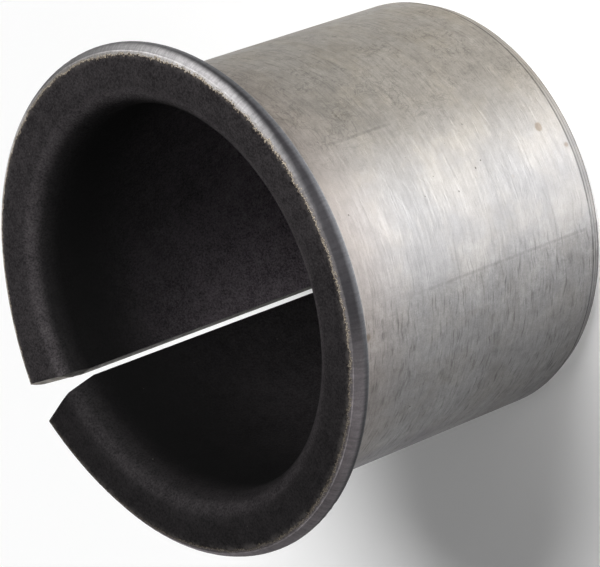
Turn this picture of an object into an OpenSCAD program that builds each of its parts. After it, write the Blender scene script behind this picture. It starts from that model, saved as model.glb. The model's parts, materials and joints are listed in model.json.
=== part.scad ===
// Flanged, wrapped plain bearing bushing.
// A flat three-layer strip (steel backing, sintered bronze, sliding liner) is rolled into a
// split sleeve, and one end is flared out into a flange. The sleeve stands on its plain end,
// flange up, with the origin on its axis at the plain end face and the split on the +X side.

/* [Sleeve] */
// Diameter of the bore, over the sliding liner
bore_d = 40; // [30:0.5:60]
// Overall length, from the plain end to the flange face
overall_len = 39.5; // [20:0.5:60]
// Thickness of the whole three-layer strip
wall = 2; // [1.4:0.1:2.6]
// Length of the lead-in chamfer on the outside of the plain end
lead_len = 1.2; // [0.6:0.1:2]
// Depth of the lead-in chamfer on the outside of the plain end
lead_depth = 0.44; // [0.2:0.02:0.7]
// Size of the 45 degree chamfer inside the plain end
inner_chamfer = 0.3; // [0.1:0.05:0.6]

/* [Layers] */
// Thickness of the sliding liner on the running side
liner_t = 0.05; // [0.04:0.01:0.1]
// Thickness of the sintered bronze between the liner and the steel
bronze_t = 0.2; // [0.15:0.05:0.35]

/* [Flange] */
// How far the flange stands out past the outside of the sleeve
flange_w = 4.5; // [3.8:0.1:7]
// Radius in the corner between the outside of the sleeve and the back of the flange
fillet_r = 1; // [0.5:0.1:1.5]
// Radius of the worn edge between the flange face and the rim
rim_front_r = 1.4; // [0.8:0.1:1.4]
// Radius of the edge between the back of the flange and the rim
rim_back_r = 0.6; // [0.2:0.1:0.6]

/* [Split] */
// Width of the slit along the sleeve
slit_w = 0.8; // [0.3:0.1:1.4]
// Width of the opening where the bend meets the flange face
throat_w = 2; // [1.5:0.1:3]
// Width of the opening at the rim, on the flange face
notch_w = 5; // [3.6:0.2:8]
// Lean of the sheared lip ends, which makes the opening narrower at the back of the flange
lip_lean = 16; // [0:1:22]
// How far the rim stands out further at the split than round the rest of the flange
lip_growth = 1.3; // [0.4:0.1:1.8]

/* [Hidden] */
$fn = 240;

// Depths below the running surface at which the layers change
bronze_depth = liner_t;
steel_depth = liner_t + bronze_t;

bore_r = bore_d / 2;
sleeve_r = bore_r + wall;
rim_r = sleeve_r + flange_w;

// The strip bends round one centre, with the fillet on its outside and this radius on the liner
bend_r = fillet_r + wall;
bend_x = bore_r + bend_r;
bend_z = overall_len - bend_r;

// Each lip starts to stand out in this direction from the axis, on the slope of a 3-4-5 triangle,
// which is 36.87 degrees from the split
lip_root = [0.8, 0.6];

// Each lip's rim is an arc of a larger circle, which touches the flange's circle at the lip's root.
// The larger circle's centre lies lip_shift beyond the bore's axis, rounded to a twentieth
lip_r = rim_r + lip_growth;
lip_shift_exact = (lip_r * lip_r - rim_r * rim_r) / (2 * (rim_r - lip_r * lip_root.x));
lip_shift = round(lip_shift_exact * 20) / 20;
lip_arc_r = rim_r + lip_shift;

// The sleeve, the bend and the start of the flange are one revolve out to web_r. The rim and the
// lips start a little inside that radius, and carry on to the edge
rim_start = bend_x + 0.1;
web_r = rim_start + 0.2;

// The notch in the flange widens from the throat, half way round the bend, to the rim
throat_x = bore_r + bend_r / 2;
notch_half_angle = atan((notch_w - throat_w) / 2 / (lip_r - throat_x));

// Length by which cutting shapes run past what they cut
over = 1;
// Side of the blocks that cut the lip ends
block = 4 * rim_r;

// Everything in the half section that lies deeper than depth below the running surface
module deeper_than(depth) {
    translate([bend_x, 0])
        square([lip_arc_r, overall_len - depth]);
    translate([bore_r + depth, 0])
        square([bend_r + over, bend_z]);
    translate([bend_x, bend_z])
        circle(bend_r - depth);
}

// Square corner that lies outside a round edge of the given radius
module round_edge_waste(radius) {
    difference() {
        square(radius + over);
        circle(radius);
    }
}

// Half section of the blank's outline: round rim, chamfered plain end
module blank_outline(reach) {
    difference() {
        square([reach, overall_len]);
        translate([reach - rim_front_r, overall_len - rim_front_r])
            round_edge_waste(rim_front_r);
        translate([reach - rim_back_r, overall_len - wall + rim_back_r])
            mirror([0, 1])
                intersection() {
                    round_edge_waste(rim_back_r);
                    square([rim_back_r + over, rim_back_r]);
                }
        polygon([
            [sleeve_r, lead_len],
            [sleeve_r - lead_depth, 0],
            [sleeve_r - lead_depth, -over],
            [sleeve_r + over, -over],
            [sleeve_r + over, lead_len]
        ]);
        polygon([
            [bore_r, inner_chamfer],
            [bore_r + inner_chamfer, 0],
            [bore_r + inner_chamfer, -over],
            [bore_r - over, -over],
            [bore_r - over, inner_chamfer]
        ]);
    }
}

// Half section of one layer, from depth top to depth bottom, ending at the rim
module layer_section(top, bottom) {
    intersection() {
        difference() {
            deeper_than(top);
            deeper_than(bottom);
        }
        blank_outline(rim_r);
    }
}

// The part of the half section inside the lips: the sleeve, the bend and the flange's web
module web_section(top, bottom) {
    intersection() {
        layer_section(top, bottom);
        square([web_r, overall_len]);
    }
}

// The part of the half section that the lips replace beside the split
module rim_section(top, bottom) {
    intersection() {
        layer_section(top, bottom);
        translate([rim_start, 0])
            square([rim_r, overall_len]);
    }
}

// Half section of a lip, about the axis of its own larger arc
module lip_section(top, bottom) {
    intersection() {
        translate([0, overall_len - bottom])
            square([lip_arc_r, bottom - top]);
        blank_outline(lip_arc_r);
    }
}

// Everything between the split and the root of the lip on the +Y side
module lip_sector() {
    translate([0, 0, -over])
        linear_extrude(height = overall_len + 2 * over)
            polygon([[0, 0], block * lip_root, [block * lip_root.x, 0]]);
}

// One lip's part of a layer, on the +Y side of the split
module lip(top, bottom) {
    intersection() {
        difference() {
            translate([-lip_shift * lip_root.x, -lip_shift * lip_root.y, 0])
                rotate_extrude()
                    lip_section(top, bottom);
            translate([0, 0, -over])
                cylinder(r = rim_start, h = overall_len + 2 * over);
        }
        lip_sector();
    }
}

// The rim's part of a layer, all round the flange but for the two lips
module rim(top, bottom) {
    difference() {
        rotate_extrude()
            rim_section(top, bottom);
        lip_sector();
        mirror([0, 1, 0])
            lip_sector();
    }
}

// Half space that lies on the split's side of one leaning lip end
module lip_end_block() {
    translate([throat_x, throat_w / 2, overall_len])
        rotate([0, 0, notch_half_angle])
            rotate([-lip_lean, 0, 0])
                translate([-block / 2, -block, -block / 2])
                    cube(block);
}

// What the split takes away: the slit, its opening through the bend, and the notch in the flange
module split_waste() {
    translate([0, -slit_w / 2, -over])
        cube([lip_r + over, slit_w, overall_len + 2 * over]);
    rotate([90, 0, 90])
        linear_extrude(height = lip_r + over)
            polygon([
                [-slit_w / 2, bend_z],
                [slit_w / 2, bend_z],
                [throat_w / 2, overall_len],
                [throat_w / 2, overall_len + over],
                [-throat_w / 2, overall_len + over],
                [-throat_w / 2, overall_len]
            ]);
    intersection() {
        lip_end_block();
        mirror([0, 1, 0])
            lip_end_block();
    }
}

// One layer of the rolled and flanged strip, between two depths below the running surface
module rolled_layer(top, bottom) {
    difference() {
        union() {
            rotate_extrude()
                web_section(top, bottom);
            rim(top, bottom);
            lip(top, bottom);
            mirror([0, 1, 0])
                lip(top, bottom);
        }
        split_waste();
    }
}

module steel_backing() {
    color("#b9b6ae")
        rolled_layer(steel_depth, wall);
}

module bronze_interlayer() {
    color("#8a6a45")
        rolled_layer(bronze_depth, steel_depth);
}

module bearing_liner() {
    color("#262528")
        rolled_layer(0, bronze_depth);
}

steel_backing();
bronze_interlayer();
bearing_liner();
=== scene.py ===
"""Flanged bearing bushing: finishes for its three rolled layers, and a plain studio stage."""

import bpy
import functools
import json
import math
from collections import namedtuple
from types import SimpleNamespace
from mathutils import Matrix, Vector


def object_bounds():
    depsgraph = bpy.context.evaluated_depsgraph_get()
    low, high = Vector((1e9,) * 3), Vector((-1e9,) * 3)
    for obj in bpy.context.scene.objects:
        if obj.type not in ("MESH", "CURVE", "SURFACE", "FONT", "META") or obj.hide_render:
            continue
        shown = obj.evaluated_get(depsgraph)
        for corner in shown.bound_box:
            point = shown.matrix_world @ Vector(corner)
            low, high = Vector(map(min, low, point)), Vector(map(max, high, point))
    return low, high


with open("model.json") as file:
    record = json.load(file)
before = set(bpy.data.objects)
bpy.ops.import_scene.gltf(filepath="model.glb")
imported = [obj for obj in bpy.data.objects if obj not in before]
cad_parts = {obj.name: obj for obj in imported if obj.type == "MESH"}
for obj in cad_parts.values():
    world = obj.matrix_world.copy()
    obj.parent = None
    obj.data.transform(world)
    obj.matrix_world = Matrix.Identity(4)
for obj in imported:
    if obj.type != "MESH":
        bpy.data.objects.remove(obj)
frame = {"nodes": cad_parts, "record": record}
cad_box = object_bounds()

bl_info = {
    "name": "Flanged Bearing Bushing",
    "version": (1, 0, 0),
    "blender": (4, 5, 0),
    "location": "3D View > Sidebar > Bushing",
    "description": "Dresses a rolled three-layer bearing bushing and sets its studio stage",
    "category": "Object",
}

# Sizes of the bushing from the frame, in millimetres
MOUNTS = {mount["name"]: mount for mount in frame["record"]["mounts"]}
SLEEVE_R = MOUNTS["outside"]["dims"]["r_mm"]
LENGTH = round(MOUNTS["flange_face"]["pos_m"][2] * 1000.0, 3)
RIM_R = round(cad_box[0].x * -1000.0, 1)

# The lips beside the split are arcs of a larger circle that touches the rim's circle in the
# direction of LIP_ROOT, mirrored for the second lip. Its radius is larger by LIP_SHIFT.
LIP_SHIFT = 8.3
LIP_ROOT = (0.8, 0.6)

# The sheared faces lie nearer than this to the plane through the axis and the split, and further
# than this from the axis, in millimetres
CUT_BESIDE = 4.0
CUT_BEYOND = 12.0

# How far the liner's edge is torn, and how wide the open bronze grains lie beside it, in millimetres
TEAR = 0.52
GRAINS = 0.17

# Directions round the bushing are in radians, nought on the side away from the split. In the
# camera's picture they grow from the sleeve's lower edge, past -0.19 in the middle, to its upper one.

# Straight marks along the sleeve: their direction, their lowest and highest point, the shade of
# the line, and on one side of it the painted shade of a stretch beside it and how far that reaches
Mark = namedtuple("Mark", "turn bottom top shade side beside reach")
STRAIGHT_MARKS = (
    Mark(turn=-0.52, bottom=-1.0, top=28.0, shade=0.20, side=-1, beside=0.10, reach=0.7),
    Mark(turn=0.25, bottom=20.0, top=33.0, shade=0.24, side=1, beside=0.12, reach=0.5),
)

# Rings on the lead-in chamfer: their height, half their width and their shade
Ring = namedtuple("Ring", "height half_width shade")
CHAMFER_RINGS = (Ring(1.25, 0.16, 0.55), Ring(0.70, 0.10, 0.50), Ring(0.0, 0.20, 0.60))

# Colours of small marks, and of the edges where the strip was sheared
RUST = (0.16, 0.115, 0.075, 1)
PIT = (0.05, 0.045, 0.04, 1)
# a dark stain, which is partly painted shade low on the sleeve
STAIN_AND_SHADE = (0.095, 0.086, 0.104, 1)
SHEARED_DARK = (0.05, 0.045, 0.04, 1)
SHEARED_PALE = (0.16, 0.15, 0.135, 1)
UNDER_LINER = (0.020, 0.018, 0.018, 1)
LINER_SPECK = (0.17, 0.155, 0.14, 1)
LINER_DUST = (0.11, 0.10, 0.095, 1)

# Colours of the rim: its rounding beside the face, a narrow strip between that and the face,
# its edge and the rounding at its back. Most of them are painted light and shade: a painted
# highlight, a painted dark stretch, and strip and edge tones painted lighter and darker as they go
# round
ROUNDING_PAINTED_SHADE = (0.027, 0.026, 0.028, 1)
ROUNDING_DULL = (0.242, 0.222, 0.232, 1)
ROUNDING_DIM_HIGHLIGHT = (0.125, 0.122, 0.126, 1)
ROUNDING_PAINTED_HIGHLIGHT = (0.50, 0.488, 0.492, 1)
STRIP_DARK = (0.074, 0.069, 0.070, 1)
STRIP_DULL = (0.050, 0.045, 0.047, 1)
EDGE_DARK = (0.078, 0.078, 0.083, 1)
EDGE_PALE = (0.20, 0.20, 0.205, 1)
BACK_GREY = (0.128, 0.130, 0.137, 1)

# Later colours of that strip, painted lighter and darker as painted light and shade,
# each with the directions where it begins and where it is reached
STRIP_CHANGES = (
    (-0.2, 0.7, (0.245, 0.236, 0.232, 1)),
    (0.8, 1.5, (0.12, 0.113, 0.108, 1)),
    (1.7, 2.1, (0.34, 0.32, 0.30, 1)),
)
RIM_ROUGHNESS = 0.75

# Lamps: azimuth, elevation and width of the light in degrees, and whether matt surfaces show it
LAMPS = {
    "key": (240.0, 50.0, 40.0, True),
    "front": (174.0, 34.0, 60.0, False),
    "top": (290.0, 66.0, 36.0, False),
}

# The camera's place in metres, its turn in degrees and its sensor's width in millimetres
CAMERA_PLACE = (-0.310688, 0.058115, 0.286486)
CAMERA_TURN = (-22.644, 46.0171, 139.7563)
SENSOR_WIDTH = 36.0

# The floor's side in metres, and how strongly it glows
FLOOR_SIZE = 8.0
FLOOR_GLOW = 0.12


# Node helpers

def feed(tree, socket, value):
    """Puts a constant or another node's socket into one input."""
    if isinstance(value, bpy.types.NodeSocket):
        tree.links.new(value, socket)
    else:
        socket.default_value = value


def add_node(tree, kind, inputs=None, **settings):
    """One node with its settings and its inputs, which are constants or other nodes' sockets."""
    node = tree.nodes.new(kind)
    for name, value in settings.items():
        setattr(node, name, value)
    for key, value in (inputs or {}).items():
        feed(tree, node.inputs[key], value)
    return node


def math_node(tree, operation, a, b=0.0):
    return add_node(tree, "ShaderNodeMath", {0: a, 1: b}, operation=operation).outputs[0]


def times(tree, value, *others):
    for other in others:
        value = math_node(tree, "MULTIPLY", value, other)
    return value


def plus(tree, a, b):
    return math_node(tree, "ADD", a, b)


def minus(tree, a, b):
    return math_node(tree, "SUBTRACT", a, b)


def absolute(tree, value):
    return math_node(tree, "ABSOLUTE", value)


def with_shares(tree, value, *shares):
    """A value plus shares of other values, given as pairs."""
    for other, share in shares:
        value = plus(tree, value, times(tree, other, share))
    return value


def dimmed(tree, value, mask, share):
    """A value, lowered by a share of itself where the mask is one."""
    return times(tree, value, minus(tree, 1.0, times(tree, mask, share)))


def lifted(tree, value, mask, share):
    """A value, raised by a share of itself where the mask is one."""
    return times(tree, value, plus(tree, times(tree, mask, share), 1.0))


def vector_node(tree, operation, a, b=(0.0, 0.0, 0.0)):
    node = add_node(tree, "ShaderNodeVectorMath", {0: a, 1: b}, operation=operation)
    return node.outputs["Value" if operation in ("LENGTH", "DISTANCE") else "Vector"]


def scaled(tree, vector, factor):
    """A vector or a colour times one factor."""
    return add_node(tree, "ShaderNodeVectorMath", {0: vector, "Scale": factor},
                    operation="SCALE").outputs[0]


def in_units_of(tree, vector, size):
    """A vector over a size, so that a pattern of scale one comes out at about that size."""
    return scaled(tree, vector, math_node(tree, "DIVIDE", 1.0, size))


def split(tree, vector):
    return add_node(tree, "ShaderNodeSeparateXYZ", {0: vector}).outputs


def join(tree, x, y, z):
    return add_node(tree, "ShaderNodeCombineXYZ", {0: x, 1: y, 2: z}).outputs[0]


def ramp_between(tree, value, low, high, to_low=0.0, to_high=1.0, smooth=True):
    """Value from low to high, mapped to to_low to to_high and held there outside."""
    return add_node(tree, "ShaderNodeMapRange",
                    {0: value, 1: low, 2: high, 3: to_low, 4: to_high},
                    interpolation_type="SMOOTHSTEP" if smooth else "LINEAR").outputs[0]


def spread(tree, value, low, high):
    """A noise about one half, spread evenly from low to high."""
    return ramp_between(tree, value, 0.3, 0.7, low, high, smooth=False)


def window(tree, value, rise, fall, top=1.0):
    """Nought, then up to top between the two places of rise, and back down between those of fall."""
    return times(tree, ramp_between(tree, value, *rise, 0.0, top),
                 ramp_between(tree, value, *fall, 1.0, 0.0))


def mix_values(tree, factor, a, b):
    return add_node(tree, "ShaderNodeMix", {0: factor, 2: a, 3: b}).outputs[0]


def mix_colour(tree, factor, a, b):
    return add_node(tree, "ShaderNodeMix", {0: factor, 6: a, 7: b}, data_type="RGBA").outputs[2]


def noise(tree, vector, scale, detail=3.0, roughness=0.55, distortion=0.0):
    return add_node(tree, "ShaderNodeTexNoise",
                    {"Vector": vector, "Scale": scale, "Detail": detail,
                     "Roughness": roughness, "Distortion": distortion}).outputs["Fac"]


def build_group(name, inputs, outputs, fill):
    """A shader node group: fill gets its tree and its inputs, and gives what its outputs show.

    An input is a vector where its value is None, and else a number with that value.
    """
    tree = bpy.data.node_groups.new(name, "ShaderNodeTree")
    for label, value in inputs.items():
        kind = "NodeSocketVector" if value is None else "NodeSocketFloat"
        socket = tree.interface.new_socket(name=label, in_out="INPUT", socket_type=kind)
        if value is not None:
            socket.default_value = value
    for label, kind in outputs.items():
        tree.interface.new_socket(name=label, in_out="OUTPUT", socket_type="NodeSocket" + kind)
    source, result = tree.nodes.new("NodeGroupInput"), tree.nodes.new("NodeGroupOutput")
    values = fill(tree, source.outputs)
    for socket, value in zip(result.inputs, values if isinstance(values, tuple) else (values,)):
        tree.links.new(value, socket)


def effect(name, inputs, outputs):
    """Makes a function that fills a node group into one that gives the group, built once."""
    def wrap(fill):
        @functools.wraps(fill)
        def group():
            if name not in bpy.data.node_groups:
                build_group(name, inputs, outputs, fill)
            return bpy.data.node_groups[name]
        return group
    return wrap


def use(tree, group, **inputs):
    """The outputs of an effect placed in a tree; underscores in names of inputs stand for spaces."""
    inputs = {key.replace("_", " "): value for key, value in inputs.items()}
    return add_node(tree, "ShaderNodeGroup", inputs, node_tree=group()).outputs


def pattern(tree, group, **inputs):
    """The only output of an effect."""
    return use(tree, group, **inputs)[0]


# Effects

# Where a point lies on the bushing: laid flat, as it is, up from the plain end, in from the rim,
# and round the axis. All but the last are in millimetres.
Place = namedtuple("Place", "unrolled mm height to_rim around")


@effect("Bushing Coordinates", {"Position": None},
        {"Unrolled": "Vector", "Millimetres": "Vector", "Height": "Float", "To Rim": "Float",
         "Around": "Float"})
def bushing_coordinates(tree, given):
    """Where a point lies on the bushing, in the order of Place."""
    mm = scaled(tree, given["Position"], 1000.0)
    x, y, z = split(tree, mm)
    radius = vector_node(tree, "LENGTH", join(tree, x, y, 0.0))
    # measured from the side away from the split, so that the jump lies in the split
    around = math_node(tree, "ARCTAN2", times(tree, y, -1.0), times(tree, x, -1.0))
    unrolled = join(tree, times(tree, around, SLEEVE_R), z, radius)
    side = absolute(tree, y)
    lip_centre = (-LIP_SHIFT * LIP_ROOT[0], -LIP_SHIFT * LIP_ROOT[1], 0.0)
    lip_arc = vector_node(tree, "DISTANCE", join(tree, x, side, 0.0), lip_centre)
    at_lip = math_node(tree, "LESS_THAN", times(tree, side, LIP_ROOT[0]),
                       times(tree, x, LIP_ROOT[1]))
    to_rim = mix_values(tree, at_lip, minus(tree, RIM_R, radius),
                        minus(tree, RIM_R + LIP_SHIFT, lip_arc))
    return unrolled, mm, z, to_rim, around


@effect("Brush Lines", {"Unrolled": None, "Length": 7.0, "Lines per mm": 5.0},
        {"Lines": "Float"})
def brush_lines(tree, given):
    """Fine lines that run round the bushing, as a value about one half."""
    x, y, z = split(tree, given["Unrolled"])
    density = given["Lines per mm"]
    stretched = join(tree, math_node(tree, "DIVIDE", x, given["Length"]),
                     times(tree, y, density), times(tree, z, density))
    return noise(tree, stretched, 1.0, 4.0, 0.6)


@effect("Scuffs",
        {"Unrolled": None, "Length": 3.0, "Strokes per mm": 3.0, "Patch": 5.0, "Share": 0.5},
        {"Mask": "Float"})
def scuffs(tree, given):
    """Short strokes that run round the bushing and gather in patches, as a mask."""
    x, y, z = split(tree, given["Unrolled"])
    density = given["Strokes per mm"]
    wander = times(tree, noise(tree, given["Unrolled"], 0.35, 1.0), 0.9)
    stretched = join(tree, math_node(tree, "DIVIDE", x, given["Length"]),
                     times(tree, plus(tree, y, wander), density), times(tree, z, density))
    stroke = ramp_between(tree, noise(tree, stretched, 1.0, 3.0, 0.5), 0.53, 0.76)
    patches = noise(tree, in_units_of(tree, given["Unrolled"], given["Patch"]), 1.0, 3.0, 0.6)
    edge = minus(tree, 0.75, times(tree, given["Share"], 0.5))
    return times(tree, stroke, ramp_between(tree, patches, minus(tree, edge, 0.12), edge))


@effect("Stains", {"Vector": None, "Size": 8.0, "Low": 0.45, "High": 0.7}, {"Mask": "Float"})
def stains(tree, given):
    """Soft uneven patches, as a mask."""
    patches = noise(tree, in_units_of(tree, given["Vector"], given["Size"]), 1.0, 6.0, 0.68, 0.3)
    return ramp_between(tree, patches, given["Low"], given["High"])


@effect("Veins", {"Vector": None, "Size": 2.0, "Width": 0.02}, {"Mask": "Float"})
def veins(tree, given):
    """Thin wandering lines, such as the dried edges of stains, as a mask."""
    hills = noise(tree, in_units_of(tree, given["Vector"], given["Size"]), 1.0, 4.0, 0.7, 0.8)
    level = absolute(tree, minus(tree, hills, 0.5))
    return ramp_between(tree, level, 0.0, given["Width"], 1.0, 0.0)


@effect("Specks", {"Vector": None, "Spacing": 2.0, "Share": 0.3, "Size": 0.18},
        {"Mask": "Float"})
def specks(tree, given):
    """Small scattered spots, as a mask."""
    vector = in_units_of(tree, given["Vector"], given["Spacing"])
    cells = add_node(tree, "ShaderNodeTexVoronoi", {"Vector": vector, "Scale": 1.0})
    pick = add_node(tree, "ShaderNodeSeparateColor", {0: cells.outputs["Color"]})
    chosen = math_node(tree, "LESS_THAN", pick.outputs[0], given["Share"])
    size = times(tree, given["Size"], plus(tree, pick.outputs[1], 0.4))
    torn = times(tree, minus(tree, noise(tree, vector, 6.0), 0.5), size)
    ragged = plus(tree, cells.outputs["Distance"], torn)
    spot = ramp_between(tree, ragged, times(tree, size, 0.5), size, 1.0, 0.0)
    return times(tree, spot, chosen)


def rim_rounding(tree, around, level, dull_side):
    """Colour of the rounding between the face and the edge: a painted highlight over a painted dark
    stretch, and mauve grey on the dull side.
    """
    body = mix_colour(tree, dull_side, ROUNDING_PAINTED_SHADE, ROUNDING_DULL)
    # painted highlight: its colour, dimmer at first and brighter further round
    bright = mix_colour(tree, ramp_between(tree, around, 0.0, 0.95), ROUNDING_DIM_HIGHLIGHT,
                        ROUNDING_PAINTED_HIGHLIGHT)
    # the painted highlight is dimmed towards the edge, and dimmed and raised again as it goes round
    # towards the split
    towards_edge = ramp_between(tree, level, LENGTH - 1.15, LENGTH - 0.40, 0.45, 1.0)
    towards_split = plus(tree, ramp_between(tree, around, 0.95, 1.5, 1.0, 0.55),
                         ramp_between(tree, around, 1.7, 2.1, 0.0, 0.6))
    bright = scaled(tree, bright, times(tree, towards_edge, towards_split))
    # painted highlight: it lies beyond a border that moves across the rounding as it goes round
    border = minus(tree, LENGTH - 0.10, times(tree, around, 0.85))
    pale_grains_and_painted_highlight = times(tree, ramp_between(tree, minus(tree, level, border), -0.45, 0.20),
                   ramp_between(tree, around, -0.35, 0.10))
    return mix_colour(tree, pale_grains_and_painted_highlight, body, bright)


def rim_strip(tree, around, dull_side):
    """Colour of the narrow strip between the rounding and the face, painted lighter and darker as it
    goes round: painted light and shade.
    """
    colour = mix_colour(tree, dull_side, STRIP_DARK, STRIP_DULL)
    for start, end, changed in STRIP_CHANGES:
        colour = mix_colour(tree, ramp_between(tree, around, start, end), colour, changed)
    return colour


def rim_outside(tree, around, level):
    """Colour of the rim's edge and of the rounding at its back; the edge is painted paler high in the
    picture as a painted highlight.
    """
    edge = mix_colour(tree, ramp_between(tree, around, 0.5, 1.1), EDGE_DARK, EDGE_PALE)
    return mix_colour(tree, ramp_between(tree, level, LENGTH - 1.40, LENGTH - 1.72), edge,
                      BACK_GREY)


def rim_grain(tree, unrolled, mm):
    """Marks across the rim and its grain, as a factor."""
    crosswise = vector_node(tree, "MULTIPLY", unrolled, (4.5, 0.5, 0.5))
    return times(tree, spread(tree, noise(tree, crosswise, 1.0, 3.0, 0.6), 0.80, 1.16),
                 spread(tree, noise(tree, mm, 5.0, 3.0, 0.6), 0.88, 1.10))


@effect("Rim Finish",
        {"Millimetres": None, "Unrolled": None, "Around": 0.0, "To Rim": 0.0, "Height": 0.0},
        {"Colour": "Color", "Mask": "Float"})
def rim_colour_and_painted_light(tree, given):
    """Colour of the flange's rounded rim, with painted light and shade over its own grain.

    A painted highlight starts beside the face and grows across the rounding as it goes round,
    and a painted dark stretch lies between the dull side and the highlight.
    """
    mm, around = given["Millimetres"], given["Around"]
    wobble = times(tree, minus(tree, noise(tree, mm, 0.9, 4.0, 0.65), 0.5), 0.16)
    level = plus(tree, given["Height"], wobble)
    dull_side = ramp_between(tree, around, -0.90, -0.42, 1.0, 0.0)
    colour = mix_colour(tree, ramp_between(tree, level, LENGTH - 0.32, LENGTH - 0.14),
                        rim_rounding(tree, around, level, dull_side),
                        rim_strip(tree, around, dull_side))
    colour = mix_colour(tree, ramp_between(tree, level, LENGTH - 0.90, LENGTH - 1.40), colour,
                        rim_outside(tree, around, level))
    on_rim = times(tree, ramp_between(tree, given["To Rim"], 1.0, 1.5, 1.0, 0.0),
                   ramp_between(tree, given["Height"], LENGTH - 2.3, LENGTH - 2.05))
    return scaled(tree, colour, rim_grain(tree, given["Unrolled"], mm)), on_rim


@effect("Cut Faces", {"Millimetres": None, "Facing": None}, {"Mask": "Float"})
def cut_faces(tree, given):
    """Where a surface faces along Y beside the split, where the strip was sheared, as a mask."""
    x, y = split(tree, given["Millimetres"])[:2]
    facing_y = split(tree, given["Facing"])[1]
    sideways = ramp_between(tree, absolute(tree, facing_y), 0.70, 0.80)
    beside = math_node(tree, "LESS_THAN", absolute(tree, y), CUT_BESIDE)
    split_side = math_node(tree, "GREATER_THAN", x, CUT_BEYOND)
    return times(tree, sideways, beside, split_side)


@effect("Ragged Edge",
        {"Vector": None, "To Rim": 0.0, "Line": 1.0, "Tear": 0.2, "Softness": 0.05},
        {"Mask": "Float"})
def ragged_edge(tree, given):
    """One inside a line at a distance from the rim, nought outside it, with a torn border."""
    coarse = noise(tree, given["Vector"], 0.8, 2.0, 0.5)
    fine = noise(tree, given["Vector"], 4.2, 4.0, 0.78)
    torn = minus(tree, plus(tree, times(tree, coarse, 0.3), times(tree, fine, 0.7)), 0.5)
    offset = times(tree, torn, times(tree, given["Tear"], 4.0))
    depth = plus(tree, minus(tree, given["To Rim"], given["Line"]), offset)
    return ramp_between(tree, depth, times(tree, given["Softness"], -0.5),
                        times(tree, given["Softness"], 0.5))


# Parts of the materials

def new_material(name):
    """A material with a Principled shader, and where its points lie on the bushing."""
    material = bpy.data.materials.new(name)
    material.use_nodes = True
    tree = material.node_tree
    tree.nodes.clear()
    output = tree.nodes.new("ShaderNodeOutputMaterial")
    shader = tree.nodes.new("ShaderNodeBsdfPrincipled")
    tree.links.new(shader.outputs[0], output.inputs[0])
    here = add_node(tree, "ShaderNodeTexCoord").outputs["Object"]
    return material, tree, shader, Place(*use(tree, bushing_coordinates, Position=here))


def into_shader(tree, shader, **values):
    """Constants and sockets into the shader's inputs; underscores in names stand for spaces."""
    for name, value in values.items():
        feed(tree, shader.inputs[name.replace("_", " ")], value)


def bump_into(tree, shader, height, strength, distance):
    bump = add_node(tree, "ShaderNodeBump",
                    {"Strength": strength, "Distance": distance, "Height": height})
    tree.links.new(bump.outputs[0], shader.inputs["Normal"])


def dress(node_name, material):
    """Gives a layer of the rolled strip its finish."""
    data = frame["nodes"][node_name].data
    data.materials.clear()
    data.materials.append(material)


def rim_of(tree, place):
    """The rim's colour with its painted highlight and shade, and where it lies."""
    return use(tree, rim_colour_and_painted_light, Millimetres=place.mm, Unrolled=place.unrolled,
               Around=place.around, To_Rim=place.to_rim, Height=place.height)


def fringe_edges(tree, place, fringe):
    """Where the liner lies, and where it or the open grains do, as masks with one torn edge."""
    liner = pattern(tree, ragged_edge, Vector=place.mm, To_Rim=place.to_rim, Line=fringe,
                    Tear=TEAR, Softness=0.10)
    grains = pattern(tree, ragged_edge, Vector=place.mm, To_Rim=place.to_rim,
                     Line=fringe - GRAINS, Tear=TEAR, Softness=0.14)
    return liner, grains


def open_bronze(tree, place, grains, look):
    """Colour of the bronze grains over their pores, with painted shade that darkens them low in the
    picture.
    """
    colour = mix_colour(tree, grains, (*look.gap, 1), (*look.gold, 1))
    return scaled(tree, colour, ramp_between(tree, place.around, -1.0, 0.0, 0.42, 1.0))


def steel_marks(tree, place, warm):
    """The patterns on the steel, as values about one half and as masks."""
    unrolled, mm = place.unrolled, place.mm
    veined = pattern(tree, veins, Vector=mm, Size=1.8, Width=0.035)
    veined_patches = pattern(tree, stains, Vector=mm, Size=4.0, Low=0.42, High=0.58)
    return SimpleNamespace(
        lines=pattern(tree, brush_lines, Unrolled=unrolled, Length=6.0, Lines_per_mm=5.0),
        soft=pattern(tree, brush_lines, Unrolled=unrolled, Length=2.0, Lines_per_mm=1.3),
        mottle=noise(tree, mm, 0.9, 7.0, 0.74),
        cloud=noise(tree, unrolled, 0.16, 3.0, 0.5),
        sand=noise(tree, mm, 6.5, 2.0, 0.6),
        patches=pattern(tree, stains, Vector=mm, Size=6.0, Low=0.40, High=0.66),
        dark=pattern(tree, scuffs, Unrolled=unrolled, Length=1.9, Strokes_per_mm=4.2,
                     Patch=6.0, Share=0.62),
        hair=pattern(tree, scuffs, Unrolled=unrolled, Length=1.1, Strokes_per_mm=6.5,
                     Patch=2.5, Share=0.5),
        strokes=pattern(tree, scuffs, Unrolled=unrolled, Length=6.0, Strokes_per_mm=3.0,
                        Patch=9.0, Share=0.6),
        dried=times(tree, veined, veined_patches, ramp_between(tree, warm, 0.0, 1.0, 0.25, 1.0)),
        rust=pattern(tree, specks, Vector=mm, Spacing=4.5, Share=0.16, Size=0.10),
        pits=pattern(tree, specks, Vector=mm, Spacing=2.0, Share=0.13, Size=0.055))


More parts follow.
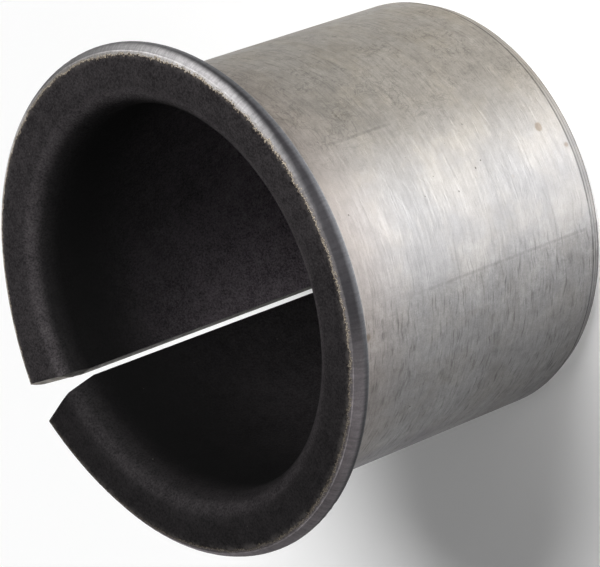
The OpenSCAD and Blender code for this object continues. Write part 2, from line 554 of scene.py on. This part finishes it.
def clean_steel(tree, place, marks, warm, look):
    """Colour of the steel without its marks: neutral, yellowed, and browner by the flange, where it
    is also darker as painted shade.
    """
    yellowed = plus(tree, times(tree, warm, 0.75), times(tree, marks.patches, 0.25))
    colour = mix_colour(tree, yellowed, (*look.light, 1), (*look.dull, 1))
    # painted shade: darker, as well as browner, towards the flange
    near_flange = ramp_between(tree, place.height, LENGTH - 14.5, LENGTH - 4.5)
    return mix_colour(tree, times(tree, near_flange, 0.6), colour, (*look.flange_tint_and_shade, 1))


def straight_mark(tree, place, soft, mark):
    """The shade of a straight line along the sleeve, and painted shade over a stretch on one side of
    it.
    """
    span = window(tree, place.height, (mark.bottom, mark.bottom + 3.0), (mark.top - 6.0, mark.top))
    offset = minus(tree, place.around, mark.turn)
    line = times(tree, ramp_between(tree, soft, 0.3, 0.55),
                 ramp_between(tree, absolute(tree, offset), 0.002, 0.012, mark.shade, 0.0))
    # painted shade: a step in tone over a stretch on one side of the line
    stretch = window(tree, offset, (0.0, 0.02 * mark.side),
                     (0.05 * mark.side, mark.reach * mark.side), mark.beside)
    return times(tree, span, plus(tree, line, stretch))


def chamfer_ring(tree, place, soft, ring):
    """Where a dark ring lies on the lead-in chamfer, as a mask."""
    offset = absolute(tree, minus(tree, place.height, ring.height))
    return times(tree, ramp_between(tree, offset, ring.half_width * 0.4, ring.half_width, 1.0, 0.0),
                 ramp_between(tree, soft, 0.25, 0.5, 0.3, 1.0))


def steel_tone(tree, place, marks, strength):
    """How much lighter or darker the marks make the steel, as a factor."""
    around = place.around
    tone = spread(tree, marks.lines, 1.0 - 0.16 * strength, 1.0 + 0.12 * strength)
    for value, low, high in ((marks.soft, 0.90, 1.08), (marks.mottle, 0.82, 1.14),
                             (marks.cloud, 0.90, 1.08), (marks.sand, 0.90, 1.08)):
        tone = times(tree, tone, spread(tree, value, low, high))
    scuffed = ramp_between(tree, around, -0.4, 0.1, 0.38, 0.20)
    for mask, share in ((marks.dark, scuffed), (marks.hair, 0.22), (marks.dried, 0.30),
                        (marks.strokes, 0.22)):
        tone = dimmed(tree, tone, mask, share)
    # the texture is calm where the sleeve is brightest
    calm = window(tree, around, (-0.62, -0.30), (0.05, 0.40), 0.5)
    tone = mix_values(tree, calm, tone, 0.97)
    # thin straight lines, each with painted shade on one side
    for mark in STRAIGHT_MARKS:
        tone = dimmed(tree, tone, straight_mark(tree, place, marks.soft, mark), 1.0)
    # painted highlight: the neutral side is painted paler beside the brightest stretch
    tone = lifted(tree, tone, window(tree, around, (-1.0, -0.62), (-0.50, -0.25)), 0.30)
    for ring in CHAMFER_RINGS:
        tone = dimmed(tree, tone, chamfer_ring(tree, place, marks.soft, ring), ring.shade)
    return tone


def side_stain_and_shade(tree, place, marks):
    """A dark purple stain along the sleeve's lower edge, stronger near the flange, that is also
    painted shade there, as a mask.
    """
    return times(tree, window(tree, place.around, (-1.9, -1.7), (-1.50, -1.34)),
                 ramp_between(tree, place.height, 13.0, 23.0),
                 ramp_between(tree, plus(tree, marks.cloud, marks.mottle), 0.80, 1.15))


def spotted(tree, place, marks, colour):
    """The steel's colour with rust specks, pits and the dark stain, which is partly painted shade,
    over it.
    """
    for mask, share, spot in ((marks.rust, 0.55, RUST), (marks.pits, 0.8, PIT),
                              (side_stain_and_shade(tree, place, marks), 0.7, STAIN_AND_SHADE)):
        colour = mix_colour(tree, times(tree, mask, share), colour, spot)
    return colour


def highlight_along_axis(tree, shader):
    """The brush lines run round the axis, so a highlight spreads along it."""
    here = add_node(tree, "ShaderNodeTexCoord").outputs["Object"]
    round_about = vector_node(tree, "CROSS_PRODUCT", (0.0, 0.0, 1.0), here)
    into_shader(tree, shader, Anisotropic=0.8, Anisotropic_Rotation=0.25,
                Tangent=vector_node(tree, "NORMALIZE", round_about))


def steel_roughness(tree, marks, cut, on_rim, base):
    rough = ramp_between(tree, marks.lines, 0.25, 0.75, base - 0.05, base + 0.06, smooth=False)
    rough = with_shares(tree, rough, (marks.patches, 0.05), (marks.dark, 0.10),
                        (marks.pits, 0.2), (cut, 0.2))
    return math_node(tree, "MINIMUM", mix_values(tree, on_rim, rough, RIM_ROUGHNESS), 1.0)


def liner_tint_and_painted_light(tree, place):
    """Painted light and shade on the liner from place to place, with a slight purple tint, as a
    colour to multiply it by.
    """
    around, height = place.around, place.height
    # painted shade: it is darkest in the bore next to the bend, and painted paler high in the picture
    # than low in it
    shade = plus(tree, ramp_between(tree, height, LENGTH - 5.5, LENGTH - 31.5, 0.0, 1.4),
                 ramp_between(tree, height, LENGTH - 5.0, LENGTH - 0.7, 0.13, 1.0))
    shade = times(tree, shade, ramp_between(tree, around, -1.3, 0.3, 0.50, 1.3))
    # painted light: a paler, slightly purple patch in the bore, high in the picture
    paler = times(tree, ramp_between(tree, around, 0.9, 2.0),
                  ramp_between(tree, height, LENGTH - 5.5, LENGTH - 13.5))
    shade = lifted(tree, shade, paler, 2.6)
    # painted highlight: the bend is painted paler just before it meets the flange's face
    band = window(tree, height, (LENGTH - 1.4, LENGTH - 0.6), (LENGTH - 0.35, LENGTH - 0.02))
    shade = lifted(tree, shade, band, 1.0)
    # painted shade: it is darker where it turns towards the split
    painted_split_shade = times(tree, ramp_between(tree, around, 1.9, 2.8),
                   window(tree, height, (LENGTH - 5.0, LENGTH - 3.0), (LENGTH - 1.5, LENGTH - 0.4)))
    shade = dimmed(tree, shade, painted_split_shade, 0.72)
    return scaled(tree, mix_colour(tree, paler, (1.0, 1.0, 1.0, 1), (1.0, 0.97, 1.02, 1)), shade)


def liner_colour(tree, place, fine, blotch, look):
    """The liner's mottled colour, with its specks and the dust of its own torn edge."""
    cloud = noise(tree, place.mm, 0.2, 3.0, 0.6)
    mixed = with_shares(tree, times(tree, fine, 0.66), (blotch, 0.20), (cloud, 0.14))
    colour = mix_colour(tree, ramp_between(tree, mixed, 0.34, 0.66), (*look.dark, 1),
                        (*look.pale_grains_and_painted_highlight, 1))
    # painted light and shade over the mottled colour
    colour = vector_node(tree, "MULTIPLY", colour, liner_tint_and_painted_light(tree, place))
    dots = pattern(tree, specks, Vector=place.mm, Spacing=1.5, Share=0.14, Size=0.055)
    colour = mix_colour(tree, times(tree, dots, 0.45), colour, LINER_SPECK)
    dusted = times(tree,
                   ramp_between(tree, place.to_rim, look.fringe + 0.7, look.fringe, 0.0, 0.35),
                   ramp_between(tree, blotch, 0.4, 0.65))
    return mix_colour(tree, dusted, colour, LINER_DUST)


# Parts of the stage

def make_floor():
    """A wide pale floor that glows a little to the camera and in reflections."""
    bpy.ops.mesh.primitive_plane_add(size=FLOOR_SIZE)
    floor = bpy.context.active_object
    floor.name = "studio_floor"
    material = bpy.data.materials.new("pale_floor")
    material.use_nodes = True
    tree = material.node_tree
    tree.nodes.clear()
    output = tree.nodes.new("ShaderNodeOutputMaterial")
    paint = add_node(tree, "ShaderNodeBsdfDiffuse", {"Color": (0.9, 0.9, 0.9, 1)})
    path = tree.nodes.new("ShaderNodeLightPath").outputs
    seen = math_node(tree, "MAXIMUM", path["Is Camera Ray"],
                     math_node(tree, "MAXIMUM", path["Is Glossy Ray"],
                               path["Is Transmission Ray"]))
    glow = add_node(tree, "ShaderNodeEmission",
                    {"Color": (1, 1, 1, 1), "Strength": times(tree, seen, FLOOR_GLOW)})
    both = add_node(tree, "ShaderNodeAddShader", {0: paint.outputs[0], 1: glow.outputs[0]})
    tree.links.new(both.outputs[0], output.inputs[0])
    floor.data.materials.append(material)
    return floor


def make_lamp(scene, name, strength, azimuth, elevation, width, on_matt):
    """A sun that shines from a direction."""
    data = bpy.data.lights.new(name, "SUN")
    data.energy = strength
    data.angle = math.radians(width)
    lamp = bpy.data.objects.new(name, data)
    scene.collection.objects.link(lamp)
    turn, rise = math.radians(azimuth), math.radians(elevation)
    away = Vector((math.cos(rise) * math.cos(turn), math.cos(rise) * math.sin(turn),
                   math.sin(rise)))
    lamp.location = away
    lamp.rotation_euler = away.to_track_quat("Z", "Y").to_euler()
    lamp.visible_diffuse = on_matt


def make_fill(scene, strength):
    """Even white light from all round."""
    world = bpy.data.worlds.new("studio")
    scene.world = world
    world.use_nodes = True
    tree = world.node_tree
    tree.nodes.clear()
    output = tree.nodes.new("ShaderNodeOutputWorld")
    fill = add_node(tree, "ShaderNodeBackground", {"Color": (1, 1, 1, 1), "Strength": strength})
    tree.links.new(fill.outputs[0], output.inputs[0])


def make_camera(scene, lens):
    """The camera, where the photo was taken from."""
    data = bpy.data.cameras.new("camera")
    data.lens = lens
    data.sensor_width = SENSOR_WIDTH
    data.clip_start = 0.01
    data.clip_end = 20.0
    camera = bpy.data.objects.new("camera", data)
    scene.collection.objects.link(camera)
    camera.location = CAMERA_PLACE
    camera.rotation_euler = tuple(math.radians(angle) for angle in CAMERA_TURN)
    scene.camera = camera


# Settings

class BushingSteelSettings(bpy.types.PropertyGroup):
    """Finish of the steel backing"""
    light: bpy.props.FloatVectorProperty(
        name="Bare Steel", description="Colour of the bright brushed steel",
        subtype="COLOR", size=3, min=0.0, max=1.0, default=(0.305, 0.300, 0.302))
    dull: bpy.props.FloatVectorProperty(
        name="Yellowed Steel", description="Colour of the stained, yellowed steel",
        subtype="COLOR", size=3, min=0.0, max=1.0, default=(0.318, 0.290, 0.248))
    flange_tint_and_shade: bpy.props.FloatVectorProperty(
        name="Steel by the Flange", description="Colour of the steel next to the flange",
        subtype="COLOR", size=3, min=0.0, max=1.0, default=(0.285, 0.248, 0.226))
    roughness: bpy.props.FloatProperty(
        name="Roughness", description="How widely the steel spreads a highlight",
        min=0.05, max=1.0, default=0.42, subtype="FACTOR")
    lines: bpy.props.FloatProperty(
        name="Brush Lines", description="How strongly the brush lines show",
        min=0.0, max=1.0, default=0.45, subtype="FACTOR")


class BushingBronzeSettings(bpy.types.PropertyGroup):
    """Finish of the sintered bronze"""
    gold: bpy.props.FloatVectorProperty(
        name="Bronze", description="Colour of the open sintered bronze",
        subtype="COLOR", size=3, min=0.0, max=1.0, default=(0.31, 0.272, 0.215))
    gap: bpy.props.FloatVectorProperty(
        name="Pores", description="Colour between the bronze grains",
        subtype="COLOR", size=3, min=0.0, max=1.0, default=(0.07, 0.055, 0.045))


class BushingLinerSettings(bpy.types.PropertyGroup):
    """Finish of the sliding liner"""
    dark: bpy.props.FloatVectorProperty(
        name="Liner", description="Colour of the liner",
        subtype="COLOR", size=3, min=0.0, max=1.0, default=(0.0065, 0.0057, 0.0062))
    pale_grains_and_painted_highlight: bpy.props.FloatVectorProperty(
        name="Rubbed Liner", description="Colour of the paler grains of the liner",
        subtype="COLOR", size=3, min=0.0, max=1.0, default=(0.034, 0.0305, 0.0320))
    roughness: bpy.props.FloatProperty(
        name="Roughness", description="How widely the liner spreads a highlight",
        min=0.05, max=1.0, default=0.82, subtype="FACTOR")
    fringe: bpy.props.FloatProperty(
        name="Fringe",
        description="Distance from the rim at which the liner gives way to bronze, in millimetres",
        min=0.2, max=3.0, default=1.06)


class BushingStageSettings(bpy.types.PropertyGroup):
    """Light, floor and camera"""
    key: bpy.props.FloatProperty(
        name="Key Light", description="Strength of the broad key light",
        min=0.0, max=20.0, default=3.4)
    front: bpy.props.FloatProperty(
        name="Front Light", description="Strength of the front light that only gloss shows",
        min=0.0, max=20.0, default=10.5)
    top: bpy.props.FloatProperty(
        name="Top Light", description="Strength of the high light that only gloss shows",
        min=0.0, max=20.0, default=1.5)
    fill: bpy.props.FloatProperty(
        name="Fill Light", description="Strength of the light from all round",
        min=0.0, max=2.0, default=0.12)
    lens: bpy.props.FloatProperty(
        name="Lens", description="Focal length of the camera, in millimetres",
        min=50.0, max=400.0, default=242.96)


# Operators and panel

class BUSHING_OT_steel_backing(bpy.types.Operator):
    """Brushed, worn steel with stains, scuffs, small pits, a rim with painted highlight and shade,
    and sheared ends
    """
    bl_idname = "bushing.steel_backing"
    bl_label = "Steel Backing"

    def execute(self, context):
        look = context.scene.bushing_steel
        material, tree, shader, place = new_material("worn_brushed_steel")
        # neutral low in the picture, yellowed high in it, and neutral again by the split
        warm = window(tree, place.around, (-0.25, 0.45), (1.8, 2.9))
        marks = steel_marks(tree, place, warm)
        tone = steel_tone(tree, place, marks, look.lines)
        colour = scaled(tree, clean_steel(tree, place, marks, warm, look), tone)
        colour = spotted(tree, place, marks, colour)
        # the rim's colour, with its painted highlight and shade
        rim_colour, on_rim = rim_of(tree, place)
        colour = mix_colour(tree, on_rim, colour, rim_colour)
        facing = tree.nodes.new("ShaderNodeNewGeometry").outputs["True Normal"]
        cut = pattern(tree, cut_faces, Millimetres=place.mm, Facing=facing)
        sheared = mix_colour(tree, ramp_between(tree, marks.mottle, 0.35, 0.65), SHEARED_DARK,
                             SHEARED_PALE)
        colour = mix_colour(tree, cut, colour, sheared)
        rough = steel_roughness(tree, marks, cut, on_rim, look.roughness)
        into_shader(tree, shader, Base_Color=colour, Metallic=1.0, Roughness=rough)
        highlight_along_axis(tree, shader)
        relief = with_shares(tree, times(tree, marks.lines, 0.6 * look.lines),
                             (marks.mottle, 0.28), (marks.dark, -0.4), (marks.hair, -0.25),
                             (marks.pits, -1.5))
        bump_into(tree, shader, relief, 0.4, 0.00004)
        dress("steel_backing", material)
        return {"FINISHED"}


class BUSHING_OT_bronze_interlayer(bpy.types.Operator):
    """Grainy sintered bronze, smeared over with steel towards the rim"""
    bl_idname = "bushing.bronze_interlayer"
    bl_label = "Bronze Interlayer"

    def execute(self, context):
        material, tree, shader, place = new_material("sintered_bronze")
        grain = noise(tree, place.mm, 7.0, 4.0, 0.7)
        colour = open_bronze(tree, place, ramp_between(tree, grain, 0.40, 0.6),
                             context.scene.bushing_bronze)
        covered, kept = fringe_edges(tree, place, context.scene.bushing_liner.fringe)
        rim_colour, on_rim = rim_of(tree, place)
        # the rim's colour, with its painted highlight and shade, covers the bronze beside the rim
        smeared = times(tree, on_rim, minus(tree, 1.0, kept))
        colour = mix_colour(tree, smeared, colour, rim_colour)
        colour = mix_colour(tree, covered, colour, UNDER_LINER)
        into_shader(tree, shader, Base_Color=colour, Metallic=0.9,
                    Roughness=ramp_between(tree, grain, 0.3, 0.7, 0.82, 0.68))
        bump_into(tree, shader, times(tree, grain, kept), 0.6, 0.0001)
        dress("bronze_interlayer", material)
        return {"FINISHED"}


class BUSHING_OT_bearing_liner(bpy.types.Operator):
    """Dark mottled sliding layer, worn through to bronze along the rim"""
    bl_idname = "bushing.bearing_liner"
    bl_label = "Bearing Liner"

    def execute(self, context):
        look = context.scene.bushing_liner
        material, tree, shader, place = new_material("mottled_liner")
        fine = noise(tree, place.mm, 4.6, 4.0, 0.75)
        blotch = noise(tree, place.mm, 0.8, 5.0, 0.7)
        colour = liner_colour(tree, place, fine, blotch, look)
        kept, grains = fringe_edges(tree, place, look.fringe)
        gold = open_bronze(tree, place, ramp_between(tree, fine, 0.42, 0.62),
                           context.scene.bushing_bronze)
        rim_colour = rim_of(tree, place)["Colour"]
        # the rim's colour, with its painted highlight and shade, shows between the open grains
        fringe_colour = mix_colour(tree, grains, rim_colour, gold)
        worn = minus(tree, 1.0, kept)
        rough = ramp_between(tree, fine, 0.3, 0.7, look.roughness + 0.10, look.roughness - 0.08)
        into_shader(tree, shader, Base_Color=mix_colour(tree, kept, fringe_colour, colour),
                    Metallic=times(tree, worn, 0.8), Roughness=rough, Specular_IOR_Level=0.05)
        relief = plus(tree, times(tree, fine, 0.7), times(tree, blotch, 0.6))
        bump_into(tree, shader, relief, 0.6, 0.00008)
        dress("bearing_liner", material)
        return {"FINISHED"}


class BUSHING_OT_stage(bpy.types.Operator):
    """Pale floor, soft light and the camera"""
    bl_idname = "bushing.stage"
    bl_label = "Stage"

    def execute(self, context):
        scene = context.scene
        look = scene.bushing_stage
        floor = make_floor()
        for name, (azimuth, elevation, width, on_matt) in LAMPS.items():
            make_lamp(scene, name + "_light", getattr(look, name), azimuth, elevation, width,
                      on_matt)
        make_fill(scene, look.fill)
        make_camera(scene, look.lens)
        scene.view_settings.view_transform = "Standard"
        return {"FINISHED"}


PANEL_ROWS = (
    ("bushing_steel", "bushing.steel_backing"),
    ("bushing_bronze", "bushing.bronze_interlayer"),
    ("bushing_liner", "bushing.bearing_liner"),
    ("bushing_stage", "bushing.stage"),
)


class BUSHING_PT_panel(bpy.types.Panel):
    """Settings and steps of the bushing"""
    bl_idname = "BUSHING_PT_panel"
    bl_label = "Bearing Bushing"
    bl_space_type = "VIEW_3D"
    bl_region_type = "UI"
    bl_category = "Bushing"

    def draw(self, context):
        for owner, operator in PANEL_ROWS:
            box = self.layout.box()
            settings = getattr(context.scene, owner)
            for name in settings.__annotations__:
                box.prop(settings, name)
            box.operator(operator)


SETTINGS = (
    ("bushing_steel", BushingSteelSettings),
    ("bushing_bronze", BushingBronzeSettings),
    ("bushing_liner", BushingLinerSettings),
    ("bushing_stage", BushingStageSettings),
)

CLASSES = (
    BUSHING_OT_steel_backing,
    BUSHING_OT_bronze_interlayer,
    BUSHING_OT_bearing_liner,
    BUSHING_OT_stage,
    BUSHING_PT_panel,
)


def register():
    for name, settings in SETTINGS:
        bpy.utils.register_class(settings)
        setattr(bpy.types.Scene, name, bpy.props.PointerProperty(type=settings))
    for cls in CLASSES:
        bpy.utils.register_class(cls)


def unregister():
    for cls in reversed(CLASSES):
        bpy.utils.unregister_class(cls)
    for name, settings in reversed(SETTINGS):
        delattr(bpy.types.Scene, name)
        bpy.utils.unregister_class(settings)


def main():
    register()
    bpy.ops.bushing.steel_backing()
    bpy.ops.bushing.bronze_interlayer()
    bpy.ops.bushing.bearing_liner()
    bpy.ops.bushing.stage()


if __name__ == "__main__":
    main()
